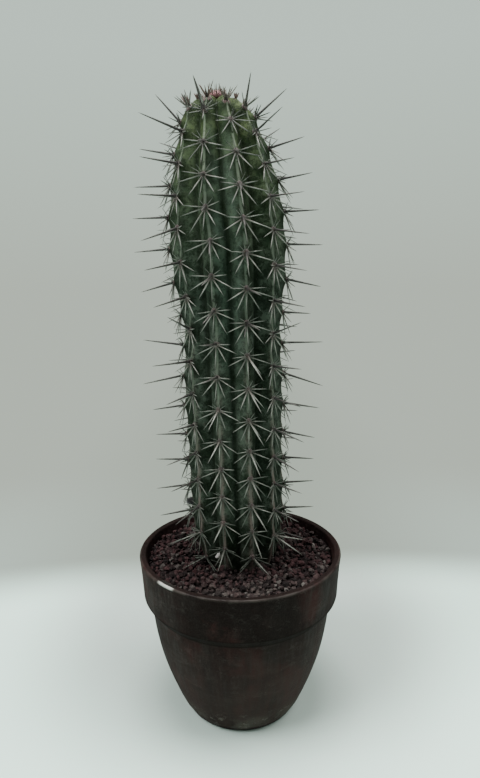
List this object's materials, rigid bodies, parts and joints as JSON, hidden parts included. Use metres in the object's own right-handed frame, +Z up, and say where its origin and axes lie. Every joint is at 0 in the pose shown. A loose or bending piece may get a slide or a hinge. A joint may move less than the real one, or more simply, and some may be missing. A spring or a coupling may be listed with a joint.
{
  "type": "potted columnar cactus",
  "caption": "Upright ribbed columnar cactus with star-shaped clusters of spines on its ribs, in a dark clay pot with a tall collar, topped with lava grit.",
  "frame": {"origin": "middle of the pot's foot, on the surface that the pot stands on", "axes": "+Z up along the pot's axis, -Y towards the front that the picture shows, +X to its right"},
  "size_m": [0.1814, 0.1814, 0.5477],
  "materials": {
    "pot": "matte",
    "soil": "matte",
    "gravel": "matte",
    "cactus": "satin"
  },
  "bodies": {
    "root": {"pot": "pot", "soil": "soil", "gravel": "gravel", "cactus": "cactus"}
  },
  "joints": []
}
